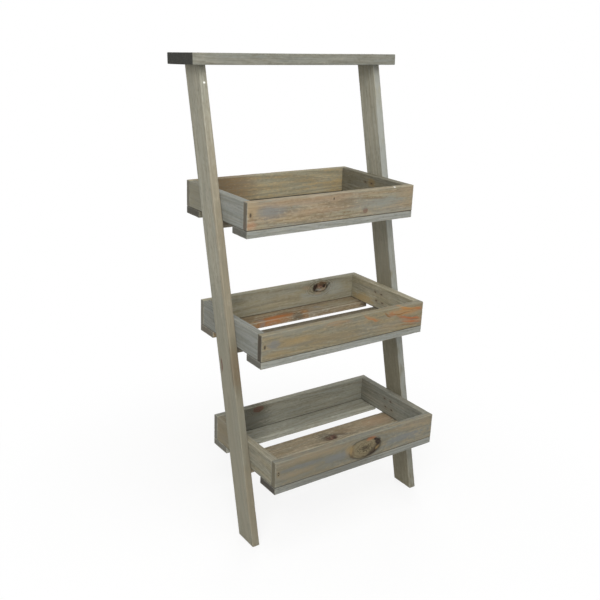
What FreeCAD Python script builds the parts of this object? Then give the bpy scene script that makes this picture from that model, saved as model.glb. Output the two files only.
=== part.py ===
import FreeCAD, Part
import math
import os

from FreeCAD import Vector

# Leaning ladder plant stand of weathered softwood planks, nailed together.
# Millimetres. X is across the stand, Y points back to the wall, Z is up.
# The origin lies on the floor, under the middle of the stand's box.

# Overall and lean
OVERALL_HEIGHT = 1000.0
LEAN_ANGLE_DEG = 14.0

# Stringers, the two leaning planks
STRINGER_WIDTH = 56.0
STRINGER_THICKNESS = 17.0

# Top board, across the stringers and tipped back a little; its length sets the width of the stand
TOP_BOARD_LENGTH = 515.0
TOP_BOARD_OVERHANG = 25.5
TOP_BOARD_DEPTH = 110.0
TOP_BOARD_THICKNESS = 23.0
TOP_BOARD_TILT_DEG = 3.0

# Trays, each a frame of four walls on three slats
LOWEST_TRAY_HEIGHT = 150.0
TRAY_SPACING = 254.0
TRAY_DEPTH = 252.0
WALL_HEIGHT = 58.0
END_WALL_THICKNESS = 14.0
SIDE_WALL_THICKNESS = 16.0
SLAT_WIDTH = 56.0
SLAT_THICKNESS = 15.0

# Long edges of every plank are eased; sawn ends stay square
EDGE_RADIUS = 1.5

# Square-wire finish nails with flat heads, driven flush
NAIL_WIRE = 1.6
NAIL_HEAD_LENGTH = 2.9
NAIL_HEAD_THICKNESS = 1.0
NAIL_TIP_LENGTH = 3.0
CORNER_NAIL_BITE = 18.0
CORNER_NAIL_HEIGHT = 32.0
SLAT_NAIL_BITE = 12.0
STRINGER_NAIL_BITE = 10.0
STRINGER_NAIL_PITCH_Y = 22.0
STRINGER_NAIL_PITCH_Z = 20.0
STRINGER_NAIL_SETBACK = 7.0
TOP_NAIL_BITE = 27.0
TOP_NAIL_PITCH = 28.0

# Directions
RIGHT = Vector(1, 0, 0)
BACK = Vector(0, 1, 0)
UP = Vector(0, 0, 1)
SIDES = {"left": -1, "right": 1}

# Sizes that follow from the values above
LEAN = math.radians(LEAN_ANGLE_DEG)
RAKE = math.tan(LEAN)
TRAY_WIDTH = TOP_BOARD_LENGTH - 2 * (TOP_BOARD_OVERHANG + STRINGER_THICKNESS)
TRAY_HEIGHT = SLAT_THICKNESS + WALL_HEIGHT
TILT = math.radians(TOP_BOARD_TILT_DEG)
BOARD_BACK = Vector(0, math.cos(TILT), -math.sin(TILT))
BOARD_UP = Vector(0, math.sin(TILT), math.cos(TILT))
BOARD_RISE = (TOP_BOARD_THICKNESS - EDGE_RADIUS) * math.cos(TILT)
FRONT_LIFT = (TOP_BOARD_DEPTH / 2 - EDGE_RADIUS) * math.sin(TILT)
SEAT_HEIGHT = OVERALL_HEIGHT - BOARD_RISE - FRONT_LIFT - EDGE_RADIUS
TRAY_BASES = {
    "lower_tray": LOWEST_TRAY_HEIGHT,
    "middle_tray": LOWEST_TRAY_HEIGHT + TRAY_SPACING,
    "upper_tray": LOWEST_TRAY_HEIGHT + 2 * TRAY_SPACING,
}
ORIGIN_CROSSING = TRAY_BASES["middle_tray"] + TRAY_HEIGHT / 2


def stringer_line(z):
    """Y of the stringers' centre line at a height."""
    return RAKE * (z - ORIGIN_CROSSING)


def seat():
    """Middle of the sawn tops' plane, which the top board lies on."""
    return Vector(0, stringer_line(SEAT_HEIGHT), SEAT_HEIGHT)


def tray_front(base):
    """Y of a tray's front face: every tray is centred on the stringers at its own mid height."""
    return stringer_line(base + TRAY_HEIGHT / 2) - TRAY_DEPTH / 2


def rounded_profile(corner, across, up, radius):
    """Face of a plank's cross-section: a rectangle spanned by two vectors, its corners eased by arcs."""
    centre = corner + (across + up) * 0.5
    half_across = across * 0.5
    half_up = up * 0.5
    step_across = half_across * (radius / half_across.Length)
    step_up = half_up * (radius / half_up.Length)
    bulge = 1 - math.sqrt(0.5)
    starts = []
    middles = []
    ends = []
    turns = [(-1, -1, False), (1, -1, True), (1, 1, False), (-1, 1, True)]
    for sign_across, sign_up, leaves_up in turns:
        tip = centre + half_across * sign_across + half_up * sign_up
        on_across = tip - step_across * sign_across
        on_up = tip - step_up * sign_up
        middles.append(tip - (step_across * sign_across + step_up * sign_up) * bulge)
        starts.append(on_across if leaves_up else on_up)
        ends.append(on_up if leaves_up else on_across)
    edges = []
    for i in range(len(turns)):
        edges.append(Part.Arc(starts[i], middles[i], ends[i]).toShape())
        edges.append(Part.LineSegment(ends[i], starts[(i + 1) % len(turns)]).toShape())
    return Part.Face(Part.Wire(edges))


def plank(corner, run, across, up):
    """Plank with its grain along run; its eased section is spanned by across and up at one corner."""
    return rounded_profile(corner, across, up, EDGE_RADIUS).extrude(run)


def nail(head, drive, wide, length):
    """Finish nail with its flat head flush at a point: a T outline with a chisel tip, one wire thick."""
    third = drive.cross(wide)
    outline = [
        (-NAIL_HEAD_LENGTH / 2, 0),
        (NAIL_HEAD_LENGTH / 2, 0),
        (NAIL_HEAD_LENGTH / 2, NAIL_HEAD_THICKNESS),
        (NAIL_WIRE / 2, NAIL_HEAD_THICKNESS),
        (NAIL_WIRE / 2, length - NAIL_TIP_LENGTH),
        (0, length),
        (-NAIL_WIRE / 2, length - NAIL_TIP_LENGTH),
        (-NAIL_WIRE / 2, NAIL_HEAD_THICKNESS),
        (-NAIL_HEAD_LENGTH / 2, NAIL_HEAD_THICKNESS),
    ]
    start = head - third * (NAIL_WIRE / 2)
    points = [start + wide * across + drive * depth for across, depth in outline]
    face = Part.Face(Part.makePolygon(points + points[:1]))
    return face.extrude(third * NAIL_WIRE)


def driven(board, nails):
    """Board with the pocket of each nail that was driven into it."""
    return board.cut(nails)


def stringer(side):
    """Leaning plank on one side of the trays, sawn level at the floor and to the top board's tilt."""
    along = Vector(0, math.sin(LEAN), math.cos(LEAN))
    across = Vector(0, math.cos(LEAN), -math.sin(LEAN)) * STRINGER_WIDTH
    spare = STRINGER_WIDTH
    length = SEAT_HEIGHT / math.cos(LEAN) + 2 * spare
    inner = TRAY_WIDTH / 2
    x_low = inner if side > 0 else -inner - STRINGER_THICKNESS
    foot = Vector(x_low, stringer_line(0), 0)
    blank = plank(foot - along * spare - across * 0.5, along * length, across, RIGHT * STRINGER_THICKNESS)
    reach = blank.BoundBox.DiagonalLength
    cuts = [BACK * -reach, BACK * reach, seat() + BOARD_BACK * reach, seat() - BOARD_BACK * reach]
    outline = [point - RIGHT * reach for point in cuts]
    between_cuts = Part.Face(Part.makePolygon(outline + outline[:1])).extrude(RIGHT * 2 * reach)
    return blank.common(between_cuts)


def slat_fronts():
    """Distance of each slat's front edge from the tray's front face."""
    return {
        "front_slat": 0.0,
        "middle_slat": (TRAY_DEPTH - SLAT_WIDTH) / 2,
        "back_slat": TRAY_DEPTH - SLAT_WIDTH,
    }


def tray_boards(base):
    """The seven boards of one tray, by name."""
    front = tray_front(base)
    left = -TRAY_WIDTH / 2
    wall_base = base + SLAT_THICKNESS
    full_run = RIGHT * TRAY_WIDTH
    side_run = BACK * (TRAY_DEPTH - 2 * END_WALL_THICKNESS)
    wall_up = UP * WALL_HEIGHT
    end_across = BACK * END_WALL_THICKNESS
    side_across = RIGHT * SIDE_WALL_THICKNESS
    back_start = front + TRAY_DEPTH - END_WALL_THICKNESS
    side_start = front + END_WALL_THICKNESS
    right_start = -left - SIDE_WALL_THICKNESS
    boards = {
        "front": plank(Vector(left, front, wall_base), full_run, end_across, wall_up),
        "back": plank(Vector(left, back_start, wall_base), full_run, end_across, wall_up),
        "left_side": plank(Vector(left, side_start, wall_base), side_run, side_across, wall_up),
        "right_side": plank(Vector(right_start, side_start, wall_base), side_run, side_across, wall_up),
    }
    for name, offset in slat_fronts().items():
        corner = Vector(left, front + offset, base)
        boards[name] = plank(corner, full_run, BACK * SLAT_WIDTH, UP * SLAT_THICKNESS)
    return boards


def corner_nails(base):
    """One nail at each corner, through the front or back board into the end of a side board."""
    front = tray_front(base)
    height = base + SLAT_THICKNESS + CORNER_NAIL_HEIGHT
    x = TRAY_WIDTH / 2 - SIDE_WALL_THICKNESS / 2
    length = END_WALL_THICKNESS + CORNER_NAIL_BITE
    nails = []
    for side in SIDES.values():
        nails.append(nail(Vector(side * x, front, height), BACK, RIGHT, length))
        nails.append(nail(Vector(side * x, front + TRAY_DEPTH, height), -BACK, RIGHT, length))
    return nails


def slat_nails(base):
    """Two nails at each slat end, up into the side board, at the quarters of the lap."""
    front = tray_front(base)
    x = TRAY_WIDTH / 2 - SIDE_WALL_THICKNESS / 2
    length = SLAT_THICKNESS + SLAT_NAIL_BITE
    nails = []
    for offset in slat_fronts().values():
        lap_start = max(offset, END_WALL_THICKNESS)
        lap_end = min(offset + SLAT_WIDTH, TRAY_DEPTH - END_WALL_THICKNESS)
        for quarter in (0.25, 0.75):
            y = front + lap_start + quarter * (lap_end - lap_start)
            for side in SIDES.values():
                nails.append(nail(Vector(side * x, y, base), UP, RIGHT, length))
    return nails


def stringer_nails(base):
    """Two by two nails on each side, from inside the tray into the stringer, in rows that follow its lean."""
    x = TRAY_WIDTH / 2 - SIDE_WALL_THICKNESS
    mid_height = base + SLAT_THICKNESS + WALL_HEIGHT / 2
    length = SIDE_WALL_THICKNESS + STRINGER_NAIL_BITE
    nails = []
    for step_z in (-0.5, 0.5):
        z = mid_height + step_z * STRINGER_NAIL_PITCH_Z
        for step_y in (-0.5, 0.5):
            y = stringer_line(z) + STRINGER_NAIL_SETBACK + step_y * STRINGER_NAIL_PITCH_Y
            for side in SIDES.values():
                nails.append(nail(Vector(side * x, y, z), RIGHT * side, BACK, length))
    return nails


def top_board_nails():
    """Two nails down through the top board into each stringer's sawn top."""
    x = TRAY_WIDTH / 2 + STRINGER_THICKNESS / 2
    length = TOP_BOARD_THICKNESS + TOP_NAIL_BITE
    nails = []
    for side in SIDES.values():
        for step in (-0.5, 0.5):
            on_top = seat() + BOARD_UP * TOP_BOARD_THICKNESS + BOARD_BACK * step * TOP_NAIL_PITCH
            nails.append(nail(on_top + RIGHT * side * x, -BOARD_UP, RIGHT, length))
    return nails


def top_board():
    """Board centred on the stringers' tops; its upper back edge and the upper tray's back meet the wall."""
    corner = seat() - RIGHT * TOP_BOARD_LENGTH * 0.5 - BOARD_BACK * TOP_BOARD_DEPTH * 0.5
    run = RIGHT * TOP_BOARD_LENGTH
    return plank(corner, run, BOARD_BACK * TOP_BOARD_DEPTH, BOARD_UP * TOP_BOARD_THICKNESS)


def build():
    """Every piece of the stand, by node name."""
    top_nails = top_board_nails()
    pieces = {
        "top_board": driven(top_board(), top_nails),
        "top_board_nails": Part.makeCompound(top_nails),
    }
    into_stringers = list(top_nails)
    for tray, base in TRAY_BASES.items():
        groups = {
            "corner_nails": corner_nails(base),
            "slat_nails": slat_nails(base),
            "stringer_nails": stringer_nails(base),
        }
        every_nail = sum(groups.values(), [])
        for board, solid in tray_boards(base).items():
            pieces[f"{tray}_{board}"] = driven(solid, every_nail)
        for group, nails in groups.items():
            pieces[f"{tray}_{group}"] = Part.makeCompound(nails)
        into_stringers += groups["stringer_nails"]
    for name, side in SIDES.items():
        pieces[f"{name}_stringer"] = driven(stringer(side), into_stringers)
    return pieces


os.makedirs("parts", exist_ok=True)
for node, shape in build().items():
    shape.exportStep(f"parts/{node}.step")
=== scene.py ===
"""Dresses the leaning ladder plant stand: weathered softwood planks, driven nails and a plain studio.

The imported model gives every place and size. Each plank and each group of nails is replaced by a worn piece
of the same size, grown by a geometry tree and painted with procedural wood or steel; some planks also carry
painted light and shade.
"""

import logging
import math
from dataclasses import dataclass, field, replace
from enum import Enum
from typing import Any, Callable, Sequence, Union

import bmesh
import bpy
from mathutils import Matrix, Vector

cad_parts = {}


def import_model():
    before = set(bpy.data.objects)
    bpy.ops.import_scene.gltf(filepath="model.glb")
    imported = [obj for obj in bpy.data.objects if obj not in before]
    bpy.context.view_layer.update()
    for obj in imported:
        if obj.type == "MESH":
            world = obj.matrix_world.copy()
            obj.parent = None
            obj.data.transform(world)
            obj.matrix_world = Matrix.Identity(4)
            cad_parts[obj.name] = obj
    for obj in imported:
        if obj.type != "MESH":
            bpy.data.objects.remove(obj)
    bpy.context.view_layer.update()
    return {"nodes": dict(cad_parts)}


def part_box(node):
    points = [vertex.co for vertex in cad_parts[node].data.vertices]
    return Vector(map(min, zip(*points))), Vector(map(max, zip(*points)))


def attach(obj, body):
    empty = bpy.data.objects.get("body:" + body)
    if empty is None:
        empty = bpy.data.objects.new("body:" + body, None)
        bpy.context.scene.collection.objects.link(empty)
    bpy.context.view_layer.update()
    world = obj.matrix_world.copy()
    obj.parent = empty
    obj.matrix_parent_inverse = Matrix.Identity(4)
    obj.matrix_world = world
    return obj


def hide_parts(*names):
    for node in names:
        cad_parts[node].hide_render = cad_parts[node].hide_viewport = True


LOG = logging.getLogger("plant_stand")
MM = 0.001
BODY = "root"
LEFT_AND_RIGHT = (-1, 1)
RIGHT = Vector((1, 0, 0))
BACK = Vector((0, 1, 0))
UP = Vector((0, 0, 1))
THICK = 1000.0
NOISE_ROUGHNESS = 0.55
OBJECT_PORT = 3

Triple = tuple[float, float, float]
Paint = tuple[float, float, float, float]
Value = Union["Shade", float]
Feeds = dict[Union[str, int], Any]


class Tone(Enum):
    """Colours of wood, stain and steel, also used for painted light and shade, as sRGB from 0 to 255."""

    OLIVE_GREY = (142, 136, 114)
    DRIFT_GREY = (150, 148, 134)
    ASH_GREY = (138, 138, 127)
    SILVER_GREY = (148, 151, 146)
    BLUE_GREY = (131, 134, 127)
    SLATE_BLUE = (119, 122, 122)
    DRIFT_TAN = (156, 137, 107)
    HONEY = (155, 132, 90)
    PINK_TAN = (152, 129, 104)
    DULL_BROWN = (126, 113, 90)
    BARK_BROWN = (112, 92, 68)
    KNOT_OLIVE = (134, 122, 93)
    KNOT_TAN = (142, 124, 102)
    LATE_GREY = (104, 99, 82)
    LATE_BROWN = (112, 90, 64)
    FLAME_ORANGE = (176, 104, 60)
    FLAME_AMBER = (182, 134, 82)
    FLAME_BROWN = (134, 92, 52)
    RED_BROWN = (108, 70, 58)
    CHARRED = (46, 36, 28)
    IRON_STAIN = (58, 52, 46)
    DARK_END = (84, 82, 75)
    BLACK_END = (29, 30, 28)
    PALE_EDGE = (172, 170, 155)
    CHIP_WHITE = (236, 235, 228)
    STEEL = (96, 90, 84)
    RUST = (74, 48, 32)
    FLOOR = (250, 250, 249)
    WHITE = (255, 255, 255)

    def paint(self, level: float = 1.0) -> Paint:
        """Gives the tone as linear light, at a level of brightness, with a full alpha."""
        red, green, blue = (linear(channel / 255) * level for channel in self.value)
        return (red, green, blue, 1.0)


def linear(channel: float) -> float:
    """Turns one sRGB channel from 0 to 1 into linear light."""
    return channel / 12.92 if channel <= 0.04045 else ((channel + 0.055) / 1.055) ** 2.4


def math_method(operation: str, swapped: bool = False) -> Callable[["Shade", Value], "Shade"]:
    """Makes a method that joins a shade and a value in one Math node.

    Args:
        operation: The Math node's operation.
        swapped: Whether the value comes before the shade.

    Returns:
        The method.
    """

    def join(shade: "Shade", other: Value) -> "Shade":
        """Adds the node."""
        pair = (other, shade) if swapped else (shade, other)
        return shade.sheet.math(operation, *pair)

    return join


class Shade:
    """One output socket of a node tree that takes part in Python arithmetic."""

    __add__ = math_method("ADD")
    __radd__ = math_method("ADD", swapped=True)
    __sub__ = math_method("SUBTRACT")
    __rsub__ = math_method("SUBTRACT", swapped=True)
    __mul__ = math_method("MULTIPLY")
    __rmul__ = math_method("MULTIPLY", swapped=True)
    __truediv__ = math_method("DIVIDE")
    __rtruediv__ = math_method("DIVIDE", swapped=True)
    __pow__ = math_method("POWER")
    least = math_method("MINIMUM")
    most = math_method("MAXIMUM")

    def __init__(self, sheet: "Sheet", socket: bpy.types.NodeSocket) -> None:
        """Wraps a socket of a sheet's tree."""
        self.sheet = sheet
        self.socket = socket

    def __neg__(self) -> "Shade":
        """Turns the sign round."""
        return self * -1.0

    def __abs__(self) -> "Shade":
        """Drops the sign."""
        return self.sheet.math("ABSOLUTE", self)

    def sign(self) -> "Shade":
        """Keeps only the sign."""
        return self.sheet.math("SIGN", self)

    def fraction(self) -> "Shade":
        """Keeps what follows the decimal point."""
        return self.sheet.math("FRACT", self)

    def swing(self, size: float) -> "Shade":
        """Turns noise from 0 to 1 into a swing of one size round 0."""
        return (self - 0.5) * size

    def rise(self, low: float, high: float) -> "Shade":
        """Climbs smoothly from 0 at low to 1 at high, or drops where low is the larger."""
        feeds = {"Value": self, "From Min": low, "From Max": high}
        return self.sheet.out("ShaderNodeMapRange", {"interpolation_type": "SMOOTHSTEP"}, feeds)

    def fall(self, low: float, high: float) -> "Shade":
        """Drops smoothly from 1 at low to 0 at high."""
        return self.rise(high, low)


def to_edge(gaps: Sequence[Shade]) -> Shade:
    """Finds how far a block's nearest edge is: the middle one of its gaps to three pairs of faces."""
    along, across, through = gaps
    return along.most(across).least(across.most(through)).least(along.most(through))


class Sheet:
    """Writes nodes into one shader or geometry tree."""

    def __init__(self, tree: bpy.types.NodeTree) -> None:
        """Takes the tree to write in."""
        self.tree = tree

    def feed(self, node: bpy.types.Node, feeds: Feeds) -> None:
        """Links or sets sockets of a node.

        Args:
            node: The node.
            feeds: Outputs or plain values for its sockets, by name or number.
        """
        for key, value in feeds.items():
            if isinstance(value, Shade):
                self.tree.links.new(value.socket, node.inputs[key])
            else:
                node.inputs[key].default_value = value

    def add(self, kind: str, settings: dict[str, Any], feeds: Feeds) -> bpy.types.Node:
        """Adds one node.

        Args:
            kind: The node's type.
            settings: Properties of the node, which are set first.
            feeds: Outputs or plain values for its sockets.

        Returns:
            The new node.
        """
        node = self.tree.nodes.new(kind)
        for name, setting in settings.items():
            setattr(node, name, setting)
        self.feed(node, feeds)
        return node

    def out(self, kind: str, settings: dict[str, Any], feeds: Feeds, port: int = 0) -> Shade:
        """Adds one node and gives one of its outputs."""
        return Shade(self, self.add(kind, settings, feeds).outputs[port])

    def math(self, operation: str, *values: Value) -> Shade:
        """Adds a Math node on one or more values."""
        return self.out("ShaderNodeMath", {"operation": operation}, dict(enumerate(values)))

    def vector(self, operation: str, *values: Any) -> Shade:
        """Adds a Vector Math node on one or more vectors."""
        return self.out("ShaderNodeVectorMath", {"operation": operation}, dict(enumerate(values)))

    def scaled(self, vector: Shade, factor: Value) -> Shade:
        """Multiplies a vector by one value."""
        return self.out("ShaderNodeVectorMath", {"operation": "SCALE"}, {0: vector, "Scale": factor})

    def measure(self, operation: str, *vectors: Any) -> Shade:
        """Adds a Vector Math node whose result is one value."""
        return self.out("ShaderNodeVectorMath", {"operation": operation}, dict(enumerate(vectors)), 1)

    def point(self, x: Value, y: Value, z: Value) -> Shade:
        """Joins three values into a vector."""
        return self.out("ShaderNodeCombineXYZ", {}, {0: x, 1: y, 2: z})

    def parts(self, vector: Shade) -> list[Shade]:
        """Splits a vector into its three values."""
        node = self.add("ShaderNodeSeparateXYZ", {}, {0: vector})
        return [Shade(self, socket) for socket in node.outputs]

    def object_place(self) -> Shade:
        """Gives the shaded point in object coordinates."""
        return self.out("ShaderNodeTexCoord", {}, {}, OBJECT_PORT)

    def noise(self, place: Shade, seed: Value, detail: float, scale: float = 1.0) -> Shade:
        """Adds smooth noise from 0 to 1, in a pattern picked by the seed, with finer noise over it."""
        feeds = {"Vector": place, "W": seed, "Scale": scale, "Detail": detail, "Roughness": NOISE_ROUGHNESS}
        return self.out("ShaderNodeTexNoise", {"noise_dimensions": "4D"}, feeds)

    def blend(self, factor: Value, under: Any, over: Any) -> Shade:
        """Lays one colour over another, as far as the factor says."""
        return self.out("ShaderNodeMix", {"data_type": "RGBA"}, {0: factor, 6: under, 7: over}, 2)


class Recipe(Sheet):
    """A geometry tree with named inputs that turns into plain meshes."""

    CROWDING = 1.6

    def __init__(self, name: str) -> None:
        """Starts an empty tree with its geometry sockets.

        Args:
            name: The tree's name.
        """
        super().__init__(bpy.data.node_groups.new(name, "GeometryNodeTree"))
        for way in ("INPUT", "OUTPUT"):
            self.tree.interface.new_socket("Geometry", in_out=way, socket_type="NodeSocketGeometry")
        self.entry = self.tree.nodes.new("NodeGroupInput")
        self.keys: dict[str, str] = {}

    def inlets(self, kind: str, *names: str) -> list[Shade]:
        """Adds named inputs of one kind.

        Args:
            kind: The last word of their socket type, such as Float or Int.
            names: The inputs' names.

        Returns:
            The inputs inside the tree.
        """
        for name in names:
            item = self.tree.interface.new_socket(name, in_out="INPUT", socket_type=f"NodeSocket{kind}")
            self.keys[name] = item.identifier
        return [Shade(self, self.entry.outputs[name]) for name in names]

    def close(self, geometry: Shade) -> None:
        """Ends the tree in realized geometry, painted with the finish that its last input names.

        Args:
            geometry: What the tree has built.
        """
        (finish,) = self.inlets("Material", "Finish")
        real = self.out("GeometryNodeRealizeInstances", {}, {0: geometry})
        painted = self.out("GeometryNodeSetMaterial", {}, {"Geometry": real, "Material": finish})
        self.add("NodeGroupOutput", {}, {0: painted})

    def position(self) -> Shade:
        """Gives the place of each point."""
        return self.out("GeometryNodeInputPosition", {}, {})

    def moved(self, geometry: Shade, **feeds: Shade) -> Shade:
        """Moves points to a Position or by an Offset."""
        return self.out("GeometryNodeSetPosition", {}, {"Geometry": geometry, **feeds})

    def cube(self, size: Any, cells: Sequence[Value]) -> Shade:
        """Adds a box with so many vertices along each axis."""
        counts = dict(zip(("Vertices X", "Vertices Y", "Vertices Z"), cells))
        return self.out("GeometryNodeMeshCube", {}, {"Size": size, **counts})

    def rounded_block(self, cells: Sequence[Value], half: Shade, radius: Shade) -> Shade:
        """Adds a block with eased edges whose cells crowd towards its edges.

        Args:
            cells: Vertices along each axis.
            half: Half of the block's size.
            radius: Rounding along each axis.

        Returns:
            The block's geometry.
        """
        cube = self.cube((2.0, 2.0, 2.0), cells)
        raw = self.parts(self.position())
        crowded = [t.sign() * (1.0 - (1.0 - abs(t)) ** self.CROWDING) for t in raw]
        face = self.vector("MULTIPLY", self.point(*crowded), half)
        reach = self.vector("SUBTRACT", half, radius)
        core = self.vector("MINIMUM", self.vector("MAXIMUM", face, self.scaled(reach, -1.0)), reach)
        beyond = self.vector("DIVIDE", self.vector("SUBTRACT", face, core), radius)
        eased = self.vector("MULTIPLY", self.vector("NORMALIZE", beyond), radius)
        return self.moved(cube, Position=self.vector("ADD", core, eased))

    def grow(self, name: str, seed_mesh: bpy.types.Mesh, values: dict[str, Any]) -> bpy.types.Object:
        """Runs the tree once and keeps the result as a plain mesh.

        Args:
            name: Name of the new object.
            seed_mesh: Mesh that the tree starts from.
            values: Values of the tree's named inputs.

        Returns:
            The object, with no modifier left on it.
        """
        piece = bpy.data.objects.new(name, seed_mesh)
        bpy.context.scene.collection.objects.link(piece)
        modifier = piece.modifiers.new(name, "NODES")
        modifier.node_group = self.tree
        for key, value in values.items():
            modifier[self.keys[key]] = value
        graph = bpy.context.evaluated_depsgraph_get()
        mesh = bpy.data.meshes.new_from_object(piece.evaluated_get(graph))
        piece.modifiers.remove(modifier)
        piece.data = mesh
        mesh.name = name
        return piece


class PlankRecipe(Recipe):
    """Grows one worn plank along X, with its width along Y and its thickness along Z (metres)."""

    CELLS_THROUGH = 11
    WANDER_SCALE = 22.0
    EDGE_LEAST = 0.45
    EDGE_SPREAD = 1.1
    END_LEAST = 0.5
    SPLINTER_SEED = 3.7
    SPLINTER_SCALE = 130.0
    SPLINTER_SHARE = (0.56, 0.74)
    SPLINTER_STRETCH = (0.3, 1.0, 1.0)
    CHIP_REACH = 0.004

    def __init__(self) -> None:
        """Writes the tree."""
        super().__init__("worn_plank")
        self.length, width, thickness = self.inlets("Float", "Length", "Width", "Thickness")
        self.edge_radius, self.end_radius = self.inlets("Float", "Edge Radius", "End Radius")
        self.foot_slant, self.top_slant = self.inlets("Float", "Foot Slant", "Top Slant")
        self.wear, self.bow, self.seed = self.inlets("Float", "Wear", "Bow", "Seed")
        cells = [*self.inlets("Int", "Cells Along", "Cells Across"), self.CELLS_THROUGH]
        half = self.scaled(self.point(self.length, width, thickness), 0.5)
        block = self.rounded_block(cells, half, self.worn_radius(half))
        moved = self.moved(block, Offset=self.worn_offset(half))
        self.close(self.out("GeometryNodeSetShadeSmooth", {}, {"Geometry": moved, "Shade Smooth": True}))

    def worn_radius(self, half: Shade) -> Shade:
        """Lets the edges' rounding wander along the plank.

        Args:
            half: Half of the plank's size.

        Returns:
            The rounding along each axis.
        """
        place = self.vector("MULTIPLY", self.position(), half)
        wander = self.noise(place, self.seed, 2.0, self.WANDER_SCALE)
        edge = self.edge_radius * (self.EDGE_LEAST + self.EDGE_SPREAD * wander)
        return self.point(self.end_radius * (self.END_LEAST + wander), edge, edge)

    def worn_offset(self, half: Shade) -> Shade:
        """Chips the edges, bows the plank and slants its ends.

        Args:
            half: Half of the plank's size.

        Returns:
            How far each point moves.
        """
        place = self.position()
        along, across, _ = self.parts(place)
        gaps = self.parts(self.vector("SUBTRACT", half, self.vector("ABSOLUTE", place)))
        stretched = self.vector("MULTIPLY", place, self.SPLINTER_STRETCH)
        splinters = self.noise(stretched, self.seed + self.SPLINTER_SEED, 2.0, self.SPLINTER_SCALE)
        chip = splinters.rise(*self.SPLINTER_SHARE) * to_edge(gaps).fall(0.0, self.CHIP_REACH)
        inward = self.scaled(self.out("GeometryNodeInputNormal", {}, {}), -(chip * self.wear))
        part_way = along / self.length
        lift = self.bow * (1.0 - part_way * part_way * 4.0)
        slant = self.foot_slant + (self.top_slant - self.foot_slant) * (part_way + 0.5)
        return self.vector("ADD", inward, self.point(across * slant, 0.0, lift))


class NailRecipe(Recipe):
    """Sets a square-wire nail with a flat head at every point of a mesh (metres)."""

    HEAD_CELLS = (6, 5, 5)
    SHANK_CELLS = (2, 2, 6)
    HEAD_EASE = 0.28
    TIP_START = -0.28
    TIP_WIDTH = 0.12
    TURN_SEED = 5

    def __init__(self) -> None:
        """Writes the tree."""
        super().__init__("driven_nails")
        self.head_length, self.wire = self.inlets("Float", "Head Length", "Wire")
        self.head_thickness, self.reach = self.inlets("Float", "Head Thickness", "Reach")
        self.proud, self.turn = self.inlets("Float", "Proud", "Turn")
        points = Shade(self, self.entry.outputs["Geometry"])
        feeds = {"Points": points, "Instance": self.nail(), "Rotation": self.aim()}
        self.close(self.out("GeometryNodeInstanceOnPoints", {}, feeds))

    def lifted(self, geometry: Shade, rise: Shade) -> Shade:
        """Moves geometry up."""
        feeds = {"Geometry": geometry, "Translation": self.point(0.0, 0.0, rise)}
        return self.out("GeometryNodeTransform", {}, feeds)

    def nail(self) -> Shade:
        """Builds one nail under the origin, head up.

        Returns:
            The nail's geometry.
        """
        half = self.scaled(self.point(self.head_length, self.wire, self.head_thickness), 0.5)
        ease = self.scaled(self.point(1.0, 1.0, 1.0), self.head_thickness * self.HEAD_EASE)
        head = self.rounded_block(self.HEAD_CELLS, half, ease)
        head = self.lifted(head, self.proud - self.head_thickness * 0.5)
        shank = self.cube(self.point(self.wire, self.wire, self.reach), self.SHANK_CELLS)
        x, y, z = self.parts(self.position())
        tip = (z / self.reach).rise(-0.5, self.TIP_START)
        pinched = self.point(x * (self.TIP_WIDTH + (1.0 - self.TIP_WIDTH) * tip), y, z)
        shank = self.moved(shank, Position=pinched)
        shank = self.lifted(shank, (self.reach + self.head_thickness) * -0.5)
        joined = self.add("GeometryNodeJoinGeometry", {}, {0: head})
        self.feed(joined, {0: shank})
        return Shade(self, joined.outputs[0])

    def aim(self) -> Shade:
        """Turns each nail along its drive, a little askew.

        Returns:
            The rotation of each nail.
        """
        vectors = {"data_type": "FLOAT_VECTOR"}
        kind = "GeometryNodeInputNamedAttribute"
        drive, wide = [self.out(kind, vectors, {"Name": name}) for name in ("drive", "wide")]
        axes = {"Primary Axis": self.scaled(drive, -1.0), "Secondary Axis": wide}
        settings = {"primary_axis": "Z", "secondary_axis": "X"}
        straight = self.out("FunctionNodeAxesToRotation", settings, axes)
        least, most = [self.point(0.0, 0.0, turn) for turn in (-self.turn, self.turn)]
        span = {"Min": least, "Max": most, "Seed": self.TURN_SEED}
        askew = self.out("FunctionNodeRandomValue", vectors, span)
        local = self.out("FunctionNodeEulerToRotation", {}, {0: askew})
        turned = {"Rotation": straight, "Rotate By": local}
        return self.out("FunctionNodeRotateRotation", {"rotation_space": "LOCAL"}, turned)


@dataclass(frozen=True)
class Knot:
    """A knot that the grain flows round (mm from the plank's middle, half sizes, degrees)."""

    along: float
    across: float
    half_length: float
    half_height: float
    heart: Tone
    rim: Tone
    heart_depth: float = 0.7
    rim_depth: float = 0.9
    rim_turn: float = -40.0
    specks: float = 0.6
    swirl: float = 0.2
    rim_width: float = 0.3


@dataclass(frozen=True)
class Flare:
    """A soft patch of another tone that breaks up along the grain (mm from the plank's middle)."""

    along: float
    across: float
    half_length: float
    half_height: float
    tone: Tone
    depth: float = 0.7
    follows_rings: float = 0.0
    slope: float = 0.0
    tear: float = 1.0
    curve: float = 0.0
    through: float = 0.0
    half_through: float = THICK


@dataclass(frozen=True)
class NailStain:
    """Iron stain round nails that repeat left and right of a plank's middle (mm)."""

    along: float
    across: float
    face: int
    centre: float = 0.0
    slant: float = 0.0
    both_heights: bool = False
    upright: bool = False
    halo: Tone = Tone.BARK_BROWN


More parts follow.
